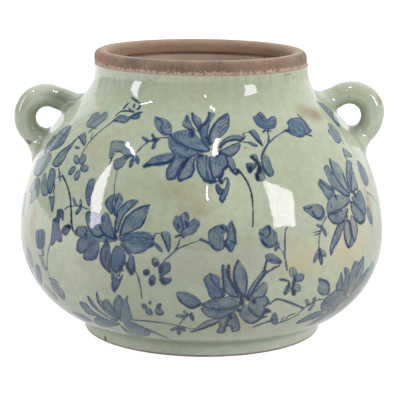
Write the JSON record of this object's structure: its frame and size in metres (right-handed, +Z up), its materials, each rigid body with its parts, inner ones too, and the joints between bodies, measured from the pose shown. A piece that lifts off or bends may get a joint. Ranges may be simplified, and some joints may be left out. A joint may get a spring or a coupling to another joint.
{
  "type": "ceramic flower pot",
  "caption": "Round-bellied glazed ceramic flower pot with a rolled bare-clay rim, loop ears on the shoulder, a foot ring and a drain hole.",
  "frame": {"origin": "on the pot's axis, at the foot ring's standing face", "axes": "+Z up along the axis, +X towards the right ear, -Y towards the viewer"},
  "size_m": [0.262, 0.258, 0.2],
  "materials": {
    "celadon_glaze": "glossy crackled celadon glaze with blue brushwork",
    "ear_glaze": "glossy celadon glaze",
    "foot_glaze": "glossy celadon glaze with a wiped bare edge",
    "bare_clay": "matt unglazed fired clay",
    "cobalt_paint": "cobalt brushwork under glossy glaze"
  },
  "bodies": {
    "root": {"lower_bowl": "celadon_glaze", "shoulder": "celadon_glaze", "base_floor": "bare_clay", "foot_ring": "foot_glaze", "neck_collar": "celadon_glaze", "rim_band": "bare_clay", "left_ear": "ear_glaze", "right_ear": "ear_glaze"}
  },
  "joints": []
}
